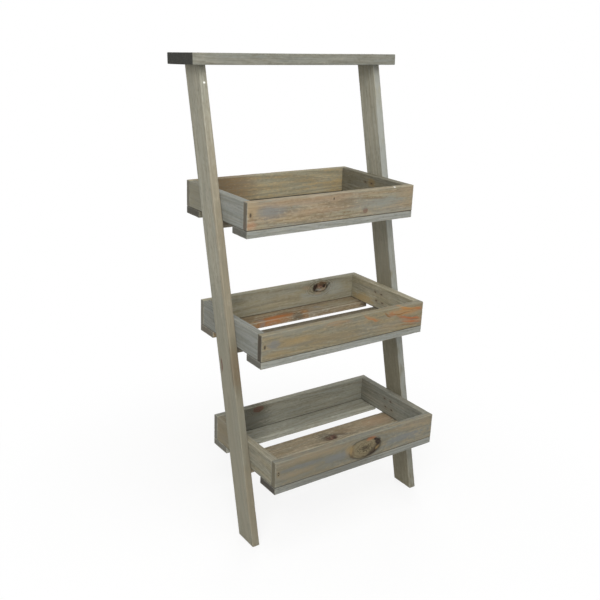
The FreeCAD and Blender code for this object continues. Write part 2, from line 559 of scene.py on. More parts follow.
@dataclass(frozen=True)
class WoodFinish:
    """How the wood of one plank is coloured and figured (mm)."""

    seed: float
    ground: Tone = Tone.OLIVE_GREY
    cool: Tone = Tone.BLUE_GREY
    warm: Tone = Tone.DRIFT_TAN
    late: Tone = Tone.LATE_GREY
    end: Tone = Tone.DARK_END
    edge: Tone = Tone.PALE_EDGE
    # level scales the plank's brightness; on some inner boards it is raised as painted light, on some shaded
    # boards lowered as painted shade
    level: float = 1.0
    cool_share: float = 0.5
    warm_share: float = 0.4
    late_depth: float = 0.3
    contrast: float = 1.0
    # depth of the pale rubbed edges, which also carry a painted highlight
    edge_depth: float = 0.35
    # depth of the painted shade along the lower seam
    seam_shade_depth: float = 0.0
    pith_across: float = 6.0
    pith_depth: float = -30.0
    taper: float = 0.02
    ring_width: float = 5.0
    knots: tuple[Knot, ...] = ()
    flares: tuple[Flare, ...] = ()
    stains: tuple[NailStain, ...] = ()


def new_material(name: str) -> tuple[bpy.types.Material, Sheet, bpy.types.Node]:
    """Starts a material.

    Args:
        name: The material's name.

    Returns:
        The material, a sheet on its tree, and its shader node.
    """
    material = bpy.data.materials.new(name)
    material.use_nodes = True
    return material, Sheet(material.node_tree), material.node_tree.nodes["Principled BSDF"]


@dataclass(frozen=True)
class SteelFinish:
    """Dull nail steel that has begun to rust."""

    bare: Tone = Tone.STEEL
    rust: Tone = Tone.RUST
    wash: Tone = Tone.OLIVE_GREY
    rust_scale: float = 700.0
    rust_seed: float = 2.0
    rust_share: tuple[float, float] = (0.4, 0.62)

    def material(self) -> bpy.types.Material:
        """Builds the steel.

        Returns:
            The nails' material.
        """
        material, sheet, shader = new_material("nail_steel")
        spread = sheet.noise(sheet.object_place(), self.rust_seed, 3.0, self.rust_scale)
        rust = spread.rise(*self.rust_share)
        washed = sheet.out("ShaderNodeAttribute", {"attribute_name": "washed"}, {}, 2)
        dull = rust.most(washed)
        colour = sheet.blend(rust, self.bare.paint(), self.rust.paint())
        colour = sheet.blend(washed, colour, self.wash.paint())
        look = {"Base Color": colour, "Roughness": 0.45 + dull * 0.4, "Metallic": 0.85 - dull * 0.8}
        sheet.feed(shader, look)
        return material


@dataclass(frozen=True)
class PlankPlace:
    """Where one plank lies: its middle and its directions along, across and through (metres)."""

    middle: Vector
    along: Vector
    across: Vector
    length: float
    width: float
    thickness: float
    foot_slant: float = 0.0
    top_slant: float = 0.0

    def matrix(self) -> Matrix:
        """Gives the move from the plank's own frame to the stand's."""
        turn = Matrix((self.along, self.across, self.along.cross(self.across))).transposed()
        return Matrix.Translation(self.middle) @ turn.to_4x4()


class Grain(Enum):
    """Noises drawn out along the grain: length and width of their marks (mm), pattern, detail."""

    FIBRE = (40.0, 0.8, 1, 3.0)
    STREAK = (150.0, 8.0, 2, 3.0)
    WANDER = (190.0, 40.0, 3, 1.0)
    RIPPLE = (60.0, 12.0, 4, 2.0)
    WASH = (110.0, 14.0, 5, 3.0)
    PATCH = (70.0, 24.0, 6, 2.0)
    THREAD = (70.0, 2.6, 7, 3.0)
    MOTTLE = (9.0, 3.6, 8, 3.0)
    WAVE = (34.0, 16.0, 9, 1.0)


class WoodPainter:
    """Paints one plank: rings, fibre, grey wash, knots, flares, stains, worn edges and sawn ends, with
    painted highlights and shade (mm).
    """

    SEED_STEP = 3.1
    PATTERN_STEP = 17.3
    WAVE_HEIGHT = 14.0
    RING_WANDER = 26.0
    RING_RIPPLE = 4.0
    KNOT_STRETCH = 1.25
    RIM_START = 1.45
    RIM_FULL = 0.6
    RIM_LINE = 0.94
    KNOT_SEED = 41.0
    GRIT_SEED = 57.0
    END_SKIN = (0.25, 0.9)
    # spans (mm) of the pale worn edges with their painted highlight, and of the painted shade along the
    # lower seam
    EDGE_RUB_AND_HIGHLIGHT = (0.6, 3.0)
    SEAM_SHADE_RISE = (0.8, 3.0)
    HALO_REACH = (1.6, 6.0)
    HALO_DEPTH = 0.4
    BITE_DEPTH = 0.9
    UPRIGHT_BITE = (1.0, 0.3, 3.6)
    FLAT_BITE = (0.32, 1.0, 2.1)
    RELIEF = 0.7
    SHEEN = 0.25

    def __init__(self, name: str, finish: WoodFinish, place: PlankPlace) -> None:
        """Starts the material and finds the plank's own coordinates and grain.

        Args:
            name: The material's name.
            finish: How the wood looks.
            place: Where the plank lies.
        """
        self.finish = finish
        self.place = place
        self.material, self.sheet, self.shader = new_material(name)
        inverse = place.matrix().inverted()
        feeds = {
            "Vector": self.sheet.object_place(),
            "Location": inverse.translation / MM,
            "Rotation": inverse.to_euler(),
            "Scale": (1 / MM, 1 / MM, 1 / MM),
        }
        self.own = self.sheet.out("ShaderNodeMapping", {}, feeds)
        self.along, self.across, self.through = self.sheet.parts(self.own)
        self.flow = self.across
        for knot in finish.knots:
            self.bend_round(knot)
        self.grain = self.sheet.point(self.along, self.flow, self.through)
        shift = self.sheet.point(0.0, self.drawn(Grain.WAVE).swing(self.WAVE_HEIGHT), 0.0)
        self.wavy = self.sheet.vector("ADD", self.own, shift)
        marks = (Grain.FIBRE, Grain.THREAD, Grain.STREAK, Grain.MOTTLE)
        self.fibre, self.thread, self.streak, self.mottle = [self.drawn(grain) for grain in marks]
        self.late = self.rings()
        self.torn = self.streak.swing(1.2) + self.thread.swing(1.6) + self.mottle.swing(2.2)
        self.grip = 0.5 + (self.thread * 0.5 + self.mottle * 0.5).rise(0.36, 0.6) * 0.5
        self.colour: Any = finish.ground.paint(finish.level)
        self.height = self.late * 0.10 + self.fibre * 0.16

    def build(self) -> bpy.types.Material:
        """Lays the colours over each other and connects the shader.

        Returns:
            The plank's material.
        """
        self.lay_wash()
        for knot in self.finish.knots:
            self.lay_knot(knot)
        for flare in self.finish.flares:
            self.lay_flare(flare)
        self.lay_wear()
        for stain in self.finish.stains:
            self.lay_stain(stain)
        relief = {"Strength": self.RELIEF, "Distance": MM, "Height": self.height}
        look = {
            "Base Color": self.colour,
            "Roughness": 0.74 + self.fibre * 0.2,
            "Normal": self.sheet.out("ShaderNodeBump", {}, relief),
            "Specular IOR Level": self.SHEEN,
        }
        self.sheet.feed(self.shader, look)
        return self.material

    def lay(self, share: Shade, tone: Tone) -> None:
        """Lays a share of a tone, at this plank's level, over the colour so far."""
        self.colour = self.sheet.blend(share, self.colour, tone.paint(self.finish.level))

    def drawn(self, grain: Grain) -> Shade:
        """Adds one of the noises that are drawn out along the grain.

        Args:
            grain: Which noise.

        Returns:
            Noise from 0 to 1.
        """
        long, wide, pattern, detail = grain.value
        place = self.sheet.vector("MULTIPLY", self.grain, (1 / long, 1 / wide, 1 / wide))
        seed = self.finish.seed * self.SEED_STEP + pattern * self.PATTERN_STEP
        return self.sheet.noise(place, seed, detail)

    def spot(self, ground: Shade, middle: Triple, half: Triple, turn: float = 0.0) -> Shade:
        """Gives the place from the middle of a turned spot (radians), in half sizes."""
        feeds = {"Vector": ground, "Location": middle, "Rotation": (0.0, 0.0, turn), "Scale": half}
        return self.sheet.out("ShaderNodeMapping", {"vector_type": "TEXTURE"}, feeds)

    def knot_spot(self, knot: Knot, stretch: float = 1.0) -> Shade:
        """Gives the place within a knot, which may be stretched along the grain."""
        half = (knot.half_length * stretch, knot.half_height, THICK)
        return self.spot(self.own, (knot.along, knot.across, 0.0), half)

    def bend_round(self, knot: Knot) -> None:
        """Bends the grain's flow round a knot.

        Args:
            knot: The knot.
        """
        place = self.knot_spot(knot, self.KNOT_STRETCH)
        near = 1.0 / (1.0 + self.sheet.measure("DOT_PRODUCT", place, place))
        self.flow = self.flow + (knot.across - self.flow) * near

    def rings(self) -> Shade:
        """Cuts the plank out of a tapering stem of yearly rings.

        Returns:
            Late wood, from 0 to 1.
        """
        finish = self.finish
        aside = self.flow - finish.pith_across + self.drawn(Grain.WANDER).swing(self.RING_WANDER)
        deep = self.through - finish.pith_depth
        stem = (aside * aside + deep * deep) ** 0.5 + self.along * finish.taper
        ripple = self.drawn(Grain.RIPPLE).swing(self.RING_RIPPLE)
        year = ((stem + ripple) / finish.ring_width).fraction()
        return year.rise(0.25, 0.9) * year.fall(0.92, 1.0)

    def lay_wash(self) -> None:
        """Lays the grey wash, the rings and the fibres over the wood's own colour."""
        finish = self.finish
        speck = self.mottle * 0.3
        cool = self.drawn(Grain.WASH) * 0.7 + speck
        warm = self.streak * 0.3 + self.drawn(Grain.PATCH) * 0.2 + self.thread * 0.2 + speck
        self.lay(cool.rise(0.43, 0.58) * finish.cool_share, finish.cool)
        self.lay(warm.rise(0.45, 0.57) * finish.warm_share, finish.warm)
        self.lay(self.late * finish.late_depth, finish.late)
        dark = self.thread.fall(0.34, 0.5) * 0.34 + self.fibre.fall(0.3, 0.5) * 0.2
        dark = dark + self.mottle.fall(0.32, 0.48) * 0.35
        self.lay(dark * finish.contrast, finish.late)
        pale = self.thread.rise(0.52, 0.7) * 0.25 + self.mottle.rise(0.53, 0.7) * 0.25
        self.lay(pale * finish.contrast, finish.edge)

    def lay_flare(self, flare: Flare) -> None:
        """Lays one flare over the wood.

        Args:
            flare: The flare.
        """
        sheet = self.sheet
        ground = self.wavy if flare.tear else self.own
        middle = (flare.along, flare.across, flare.through)
        half = (flare.half_length, flare.half_height, flare.half_through)
        place = self.spot(ground, middle, half, math.atan(flare.slope))
        if flare.curve:
            along = sheet.parts(place)[0]
            place = sheet.vector("ADD", place, sheet.point(0.0, along * along * -flare.curve, 0.0))
        near = (sheet.measure("DOT_PRODUCT", place, place) + self.torn * flare.tear).fall(0.0, 1.2)
        if flare.follows_rings:
            near = near * (self.late * flare.follows_rings + (1.0 - flare.follows_rings))
        self.lay(near * self.grip * flare.depth, flare.tone)

    def lay_knot(self, knot: Knot) -> None:
        """Lays one knot over the wood: its halo, swirl, heart, circles, rim and specks.

        Args:
            knot: The knot.
        """
        finish, sheet = self.finish, self.sheet
        place = self.knot_spot(knot)
        rough = sheet.noise(place, finish.seed + self.KNOT_SEED, 3.0, 1.6)
        far = sheet.measure("LENGTH", place) + rough.swing(0.5)
        inside = far.fall(0.84, 1.02)
        self.lay(far.fall(0.95, 1.6) * 0.3, finish.late)
        swirl = (far * 3.0 + rough).fraction().rise(0.3, 0.8) * far.rise(0.95, 1.15) * far.fall(1.3, 2.6)
        self.lay(swirl * knot.swirl, finish.late)
        self.lay(inside * knot.heart_depth, knot.heart)
        circles = (far * 4.0 + rough * 1.4).fraction().rise(0.5, 0.95) * inside
        self.lay(circles * 0.3, knot.rim)
        turn = math.radians(knot.rim_turn)
        side = sheet.measure("DOT_PRODUCT", place, (math.cos(turn), math.sin(turn), 0.0)).rise(-0.2, 0.9)
        rim_start, rim_full = [1.0 - knot.rim_width * part for part in (self.RIM_START, self.RIM_FULL)]
        thick = (far + rough.swing(0.6)).rise(rim_start, rim_full) * inside * side
        thin = abs(far - self.RIM_LINE).fall(0.02, 0.13) * 0.6
        self.lay(thick.most(thin) * knot.rim_depth, knot.rim)
        grit = sheet.noise(self.own, finish.seed + self.GRIT_SEED, 2.0, 0.28).rise(0.5, 0.62)
        self.lay(grit * far.fall(0.3, 0.8) * knot.specks, Tone.CHARRED)

    def lay_wear(self) -> None:
        """Darkens the sawn ends, rubs the edges pale with a painted highlight and paints shade along the
        seam below.
        """
        finish, place = self.finish, self.place
        length, width, thickness = [size / MM for size in (place.length, place.width, place.thickness)]
        middle_slant = (place.foot_slant + place.top_slant) / 2
        twist = (place.top_slant - place.foot_slant) / length
        sawn = self.along - self.across * (middle_slant + self.along * twist)
        pairs = ((length, sawn), (width, self.across), (thickness, self.through))
        gaps = [size / 2 - abs(reach) for size, reach in pairs]
        pores = self.sheet.noise(self.own, finish.seed, 2.0, 0.8)
        grime = 0.75 + pores.rise(0.3, 0.7) * 0.2
        self.lay(gaps[0].fall(*self.END_SKIN) * grime, finish.end)
        # pale edges: rubbed wear, together with a painted highlight along every edge
        rubbed_and_highlit = to_edge(gaps).fall(*self.EDGE_RUB_AND_HIGHLIGHT) * (0.25 + self.streak.rise(0.35, 0.65) * 0.75)
        self.lay(rubbed_and_highlit * finish.edge_depth, finish.edge)
        # painted shade: a dark line along the lower long edge, where the board sits on the next part
        seam_shade_mask = (self.across + width / 2).fall(*self.SEAM_SHADE_RISE) * (0.7 + self.thread * 0.6)
        self.lay(seam_shade_mask * finish.seam_shade_depth, Tone.IRON_STAIN)

    def lay_stain(self, stain: NailStain) -> None:
        """Rings each nail with rust and presses the wood in under its head.

        Args:
            stain: Where the nails are.
        """
        aside = abs(self.along - self.across * stain.slant - stain.centre) - stain.along
        above = (abs(self.across) if stain.both_heights else self.across) - stain.across
        shown = (self.through * stain.face).rise(0.0, 1.0)
        ragged = self.fibre.swing(6.0) + self.streak.swing(8.0)
        long, high, reach = self.UPRIGHT_BITE if stain.upright else self.FLAT_BITE
        spread = (aside * aside * long + above * above * high) ** 0.5
        halo = (spread + ragged * 0.35).fall(*self.HALO_REACH) * shown
        bite = spread.fall(1.0, reach) * shown
        self.lay(halo * self.HALO_DEPTH, stain.halo)
        self.lay(bite * self.BITE_DEPTH, Tone.IRON_STAIN)
        self.height = self.height - bite * 0.5


@dataclass
class Workshop:
    """Holds the trees, the steel and the sizes that every piece shares (mm, degrees)."""

    edge_radius: float = 1.6
    end_radius: float = 0.8
    wear: float = 0.55
    cell_along: float = 4.2
    cell_across: float = 2.6
    nail_head: float = 2.9
    nail_wire: float = 1.6
    nail_head_thickness: float = 1.0
    nail_reach: float = 22.0
    nail_proud: float = 0.12
    nail_turn: float = 9.0
    planks: PlankRecipe = field(default_factory=PlankRecipe)
    nails: NailRecipe = field(default_factory=NailRecipe)
    steel: bpy.types.Material = field(default_factory=SteelFinish().material)

    def plank(self, node: str, place: PlankPlace, finish: WoodFinish, slot: str, bow: float) -> None:
        """Makes one plank and lets it stand for its CAD node.

        Args:
            node: The CAD node.
            place: Where the plank lies.
            finish: How it is painted.
            slot: Not used.
            bow: How far its middle stands off the straight line.
        """
        name = f"{node}_plank"
        sizes = {
            "Edge Radius": self.edge_radius,
            "End Radius": self.end_radius,
            "Wear": self.wear,
            "Bow": bow,
        }
        values = {
            "Length": place.length,
            "Width": place.width,
            "Thickness": place.thickness,
            "Foot Slant": place.foot_slant,
            "Top Slant": place.top_slant,
            "Cells Along": int(place.length / (self.cell_along * MM)),
            "Cells Across": int(place.width / (self.cell_across * MM)),
            "Seed": finish.seed,
            "Finish": WoodPainter(f"{node}_wood", finish, place).build(),
            **{key: size * MM for key, size in sizes.items()},
        }
        piece = self.planks.grow(name, bpy.data.meshes.new(name), values)
        piece.data.transform(place.matrix())
        self.hand_over(piece, node)

    def nail_group(
        self,
        node: str,
        heads: list[Vector],
        drives: list[Vector],
        wide: Vector,
        washed: Sequence[float] = (),
    ) -> None:
        """Drives one group of nails.

        Args:
            node: The CAD node that the group stands for.
            heads: Middle of each head, on the wood.
            drives: Direction of each nail.
            wide: Direction of the heads' long side.
            washed: How far the grey wash covers each of the first heads.
        """
        name = f"{node}_steel"
        mesh = bpy.data.meshes.new(name)
        mesh.from_pydata(heads, [], [])
        aims = {"drive": drives, "wide": [wide] * len(heads)}
        for key, ways in aims.items():
            attribute = mesh.attributes.new(key, "FLOAT_VECTOR", "POINT")
            for cell, way in zip(attribute.data, ways):
                cell.vector = way
        cover = mesh.attributes.new("washed", "FLOAT", "POINT")
        for cell, share in zip(cover.data, washed):
            cell.value = share
        sizes = {
            "Head Length": self.nail_head,
            "Wire": self.nail_wire,
            "Head Thickness": self.nail_head_thickness,
            "Reach": self.nail_reach,
            "Proud": self.nail_proud,
        }
        values = {key: size * MM for key, size in sizes.items()}
        values |= {"Turn": math.radians(self.nail_turn), "Finish": self.steel}
        piece = self.nails.grow(name, mesh, values)
        self.hand_over(piece, node)

    def hand_over(self, piece: bpy.types.Object, node: str) -> None:
        """Ties a finished piece to the frame.

        Args:
            piece: The piece.
            node: The CAD node that it stands for.
        """
        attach(piece, BODY)
        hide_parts(node)
        LOG.info("%s: %d faces", piece.name, len(piece.data.polygons))


class Lay(Enum):
    """How a board lies: the directions of its grain and of its width."""

    ACROSS_ON_EDGE = (RIGHT, UP)
    DEEP_ON_EDGE = (BACK, UP)
    ACROSS_FLAT = (RIGHT, BACK)

    def place(self, node: str) -> PlankPlace:
        """Reads a level board's place from its CAD node.

        Args:
            node: The CAD node.

        Returns:
            The board's place.
        """
        low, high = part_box(node)
        along, across = self.value
        spans = [abs((high - low).dot(way)) for way in (along, across, along.cross(across))]
        return PlankPlace((low + high) / 2, along, across, *spans)


class Board(Enum):
    """The seven boards of a tray, with how each lies and its material slot."""

    FRONT = ("front", Lay.ACROSS_ON_EDGE, "tray_wood")
    BACK = ("back", Lay.ACROSS_ON_EDGE, "tray_wood")
    LEFT_SIDE = ("left_side", Lay.DEEP_ON_EDGE, "tray_wood")
    RIGHT_SIDE = ("right_side", Lay.DEEP_ON_EDGE, "tray_wood")
    FRONT_SLAT = ("front_slat", Lay.ACROSS_FLAT, "slat_wood")
    MIDDLE_SLAT = ("middle_slat", Lay.ACROSS_FLAT, "slat_wood")
    BACK_SLAT = ("back_slat", Lay.ACROSS_FLAT, "slat_wood")


@dataclass
class Tray:
    """One tray: four walls on three slats, with its corner, slat and stringer nails (mm)."""

    shop: Workshop
    name: str
    finishes: dict[Board, WoodFinish]
    rake: float
    front_nail_wash: tuple[float, float] = (0.0, 0.9)
    # depth of the painted shade along the walls' lower seam
    seam_shade_depth: float = 0.85
    bow: float = 0.35
    bow_turn: float = 2.3
    nail_inset: float = 8.0
    corner_nail_height: float = 47.0
    stringer_nail_heights: tuple[float, float] = (34.0, 54.0)
    stringer_nail_pitch: float = 22.0
    stringer_nail_setback: float = 8.87
    slat_nails: dict[Board, tuple[float, float]] = field(
        default_factory=lambda: {
            Board.FRONT_SLAT: (-3.5, 17.5),
            Board.MIDDLE_SLAT: (-14.0, 14.0),
            Board.BACK_SLAT: (-17.5, 3.5),
        }
    )

    def node(self, board: Board) -> str:
        """Gives the CAD node of one of the tray's boards."""
        return f"{self.name}_{board.value[0]}"

    def build(self) -> None:
        """Makes the tray's boards and nails."""
        for board in Board:
            _, lay, slot = board.value
            place = lay.place(self.node(board))
            # walls get painted shade along their lower seam; slats get none
            seam = 0.0 if lay is Lay.ACROSS_FLAT else self.seam_shade_depth
            finish = replace(self.finishes[board], stains=self.stains(board, place), seam_shade_depth=seam)
            bow = self.bow * math.sin(finish.seed * self.bow_turn)
            self.shop.plank(self.node(board), place, finish, slot, bow)
        self.drive_corner_and_slat_nails()
        self.drive_stringer_nails()

    def stains(self, board: Board, place: PlankPlace) -> tuple[NailStain, ...]:
        """Finds where nails have stained a board.

        Args:
            board: The board.
            place: Where it lies.

        Returns:
            The stains, in the board's own millimetres.
        """
        low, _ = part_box(self.node(Board.FRONT_SLAT))
        rise = self.corner_nail_height - (place.middle.z - low.z) / MM
        inset = place.length / 2 / MM - self.nail_inset
        if board is Board.FRONT:
            return (NailStain(0.0, rise, 1, -inset, upright=True, halo=self.finishes[board].warm),)
        if board is Board.BACK:
            return (NailStain(inset, rise, -1),)
        if board in self.slat_nails:
            return tuple(NailStain(inset, offset, -1) for offset in self.slat_nails[board])
        face = 1 if board is Board.LEFT_SIDE else -1
        lower, upper = self.stringer_nail_heights
        spread = (self.stringer_nail_pitch / 2, (upper - lower) / 2)
        return (NailStain(*spread, face, self.stringer_nail_setback, self.rake, True),)

    def drive_corner_and_slat_nails(self) -> None:
        """Drives the nails that hold the tray's walls to each other and its slats to the walls."""
        low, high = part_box(self.node(Board.FRONT_SLAT))
        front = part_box(self.node(Board.FRONT))[0]
        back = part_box(self.node(Board.BACK))[1]
        inset = high.x - self.nail_inset * MM
        height = low.z + self.corner_nail_height * MM
        corners = [(side, y, way) for y, way in ((front.y, 1), (back.y, -1)) for side in LEFT_AND_RIGHT]
        heads = [Vector((side * inset, y, height)) for side, y, _ in corners]
        drives = [BACK * way for _, _, way in corners]
        self.shop.nail_group(f"{self.name}_corner_nails", heads, drives, RIGHT, self.front_nail_wash)
        heads = []
        for board, offsets in self.slat_nails.items():
            middle = board.value[1].place(self.node(board)).middle
            for offset in offsets:
                heads += [Vector((side * inset, middle.y + offset * MM, low.z)) for side in LEFT_AND_RIGHT]
        self.shop.nail_group(f"{self.name}_slat_nails", heads, [UP] * len(heads), RIGHT)

    def drive_stringer_nails(self) -> None:
        """Drives the nails that hold the tray's sides to the stringers."""
        low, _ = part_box(self.node(Board.FRONT_SLAT))
        side_low, side_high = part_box(self.node(Board.RIGHT_SIDE))
        middle = (side_low + side_high) / 2
        heads, drives = [], []
        for height in self.stringer_nail_heights:
            z = low.z + height * MM
            y = middle.y + self.stringer_nail_setback * MM + (z - middle.z) * self.rake
            for step in (-0.5, 0.5):
                for side in LEFT_AND_RIGHT:
                    heads.append(Vector((side * side_low.x, y + step * self.stringer_nail_pitch * MM, z)))
                    drives.append(RIGHT * side)
        self.shop.nail_group(f"{self.name}_stringer_nails", heads, drives, BACK)


@dataclass
class Ladder:
    """The two leaning stringers and the top board that caps them (mm)."""

    shop: Workshop
    nodes: dict[str, bpy.types.Object]
    stringer_finishes: dict[str, WoodFinish]
    top_finish: WoodFinish
    stringer_bow: float = 0.3
    top_bow: float = -0.5
    top_depth: float = 110.0
    top_thickness: float = 23.0
    top_tilt: float = 3.0
    top_nail_pitch: float = 28.0

    def stringer_place(self, node: str) -> PlankPlace:
        """Reads a leaning plank's place from the corners of its sawn foot and top.

        Args:
            node: The CAD node.

        Returns:
            The plank's place.
        """
        low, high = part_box(node)
        corners = [vertex.co for vertex in self.nodes[node].data.vertices]
        foot = [corner for corner in corners if corner.z < low.z + MM / 10]
        foot_front = min(foot, key=lambda corner: corner.y)
        foot_back = max(foot, key=lambda corner: corner.y)
        top_front = max(corners, key=lambda corner: corner.z)
        top_back = max(corners, key=lambda corner: corner.y)
        foot_middle = (foot_front + foot_back) / 2
        top_middle = (top_front + top_back) / 2
        line = Vector((0, top_middle.y - foot_middle.y, top_middle.z - foot_middle.z))
        along = line.normalized()
        across = Vector((0, along.z, -along.y))
        width = (foot_back.y - foot_front.y) * along.z
        saw = top_back - top_front
        slants = (along.y / along.z, saw.dot(along) / saw.dot(across))
        middle = (foot_middle + top_middle) / 2
        middle.x = (low.x + high.x) / 2
        return PlankPlace(middle, along, across, line.length, width, high.x - low.x, *slants)

    def rake(self) -> float:
        """Gives how far the stringers lean back for each step up."""
        return self.stringer_place("left_stringer").foot_slant

    def top_place(self) -> PlankPlace:
        """Finds the top board's place, tipped back on the stringers' tops.

        Returns:
            The board's place.
        """
        low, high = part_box("top_board")
        tilt = math.radians(self.top_tilt)
        back = Vector((0, math.cos(tilt), -math.sin(tilt)))
        size = (high.x - low.x, self.top_depth * MM, self.top_thickness * MM)
        return PlankPlace((low + high) / 2, RIGHT, back, *size)

    def build(self) -> None:
        """Makes the stringers, the top board and its nails."""
        for node, finish in self.stringer_finishes.items():
            self.shop.plank(node, self.stringer_place(node), finish, "stringer_wood", self.stringer_bow)
        place = self.top_place()
        stringer_low, stringer_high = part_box("right_stringer")
        inset = (stringer_low.x + stringer_high.x) / 2
        pitch = self.top_nail_pitch / 2
        finish = replace(self.top_finish, stains=(NailStain(inset / MM, pitch, 1, both_heights=True),))
        self.shop.plank("top_board", place, finish, "top_board_wood", self.top_bow)
        up = place.along.cross(place.across)
        top = place.middle + up * (place.thickness / 2)
        steps = [(side, way) for side in LEFT_AND_RIGHT for way in LEFT_AND_RIGHT]
        heads = [top + place.along * side * inset + place.across * way * pitch * MM for side, way in steps]
        self.shop.nail_group("top_board_nails", heads, [-up] * len(heads), place.along)


@dataclass(frozen=True)
class Lamp:
    """A square soft light (metres, watts)."""

    name: str
    place: Vector
    size: float
    power: float

    def hang(self, aim: Vector) -> None:
        """Hangs the light and turns it to a point.

        Args:
            aim: The point.
        """
        light = bpy.data.lights.new(self.name, "AREA")
        light.energy = self.power
        light.size = self.size
        lamp = bpy.data.objects.new(self.name, light)
        lamp.location = self.place
        lamp.rotation_euler = (aim - self.place).to_track_quat("-Z", "Y").to_euler()
        bpy.context.scene.collection.objects.link(lamp)


@dataclass
class Studio:
    """Plain pale floor, soft light and the camera (metres, degrees)."""

    eye: Vector = field(default_factory=lambda: Vector((-1.02622, -1.38915, 1.07633)))
    yaw: float = 35.471
    pitch: float = -19.15
    roll: float = 2.338
    lens: float = 49.253
    sensor: float = 36.0
    clip_start: float = 0.05
    aim_height: float = 0.5
    sky: float = 0.28
    floor_radius: float = 7.0
    floor_segments: int = 96
    floor_drop: float = 0.0004
    floor_roughness: float = 0.8
    floor_veil: float = 0.82
    floor_fade: tuple[float, float] = (0.25, 0.85)
    lamps: tuple[Lamp, ...] = (
        Lamp("key", Vector((-1.45, -1.5, 1.8)), 1.4, 38.0),
        Lamp("overhead", Vector((0.0, -0.8, 2.4)), 1.8, 22.0),
        Lamp("fill", Vector((1.5, 1.9, 1.1)), 1.6, 24.0),
    )

    def build(self) -> None:
        """Sets up everything round the stand."""
        bpy.context.scene.view_settings.view_transform = "Standard"
        for lamp in self.lamps:
            lamp.hang(UP * self.aim_height)
        self.light_world()
        self.lay_floor()
        self.set_camera()

    def seen(self, sheet: Sheet) -> Shade:
        """Tells rays that show the background from rays that carry light.

        Args:
            sheet: The tree to write in.

        Returns:
            1 for camera, glossy and transmitted rays, else 0.
        """
        node = sheet.add("ShaderNodeLightPath", {}, {})
        names = ("Is Camera Ray", "Is Glossy Ray", "Is Transmission Ray")
        camera, glossy, through = [Shade(sheet, node.outputs[name]) for name in names]
        return camera.most(glossy).most(through)

    def light_world(self) -> None:
        """Fills the world with soft light and shows it white."""
        world = bpy.data.worlds.new("studio")
        world.use_nodes = True
        bpy.context.scene.world = world
        sheet = Sheet(world.node_tree)
        strength = self.sky + self.seen(sheet) * (1.0 - self.sky)
        light = {"Color": Tone.WHITE.paint(), "Strength": strength}
        sheet.feed(world.node_tree.nodes["Background"], light)

    def lay_floor(self) -> None:
        """Lays a pale disc that keeps the stand's shadow and fades to white."""
        mesh = bpy.data.meshes.new("floor")
        form = bmesh.new()
        bmesh.ops.create_circle(form, cap_ends=True, segments=self.floor_segments, radius=self.floor_radius)
        form.to_mesh(mesh)
        form.free()
        floor = bpy.data.objects.new("floor", mesh)
        mesh.transform(Matrix.Translation(UP * -self.floor_drop))
        bpy.context.scene.collection.objects.link(floor)
        mesh.materials.append(self.floor_material())

    def floor_material(self) -> bpy.types.Material:
        """Builds the floor's paint.

        Returns:
            The material.
        """
        material, sheet, shader = new_material("pale_floor")
        sheet.feed(shader, {"Base Color": Tone.FLOOR.paint(), "Roughness": self.floor_roughness})
        far = sheet.measure("LENGTH", sheet.object_place()).rise(*self.floor_fade)
        veil = (self.floor_veil + far * (1.0 - self.floor_veil)) * self.seen(sheet)
        white = sheet.out("ShaderNodeEmission", {}, {"Color": Tone.WHITE.paint(), "Strength": 1.0})
        lit = Shade(sheet, shader.outputs[0])
        mixed = sheet.out("ShaderNodeMixShader", {}, {0: veil, 1: lit, 2: white})
        sheet.feed(material.node_tree.nodes["Material Output"], {"Surface": mixed})
        return material

    def set_camera(self) -> None:
        """Puts the camera where the photographer stood."""
        yaw, pitch, roll = (math.radians(angle) for angle in (self.yaw, self.pitch, self.roll))
        level = math.cos(pitch)
        ahead = Vector((math.sin(yaw) * level, math.cos(yaw) * level, math.sin(pitch)))
        right = Vector((math.cos(yaw), -math.sin(yaw), 0.0))
        up = right.cross(ahead)
        rolled_right = right * math.cos(roll) + up * math.sin(roll)
        rolled_up = up * math.cos(roll) - right * math.sin(roll)
        turn = Matrix((rolled_right, rolled_up, -ahead)).transposed()
        data = bpy.data.cameras.new("camera")
        data.lens = self.lens
        data.sensor_width = self.sensor
        data.clip_start = self.clip_start
        camera = bpy.data.objects.new("camera", data)
        camera.matrix_world = Matrix.Translation(self.eye) @ turn.to_4x4()
        bpy.context.scene.collection.objects.link(camera)
        bpy.context.scene.camera = camera


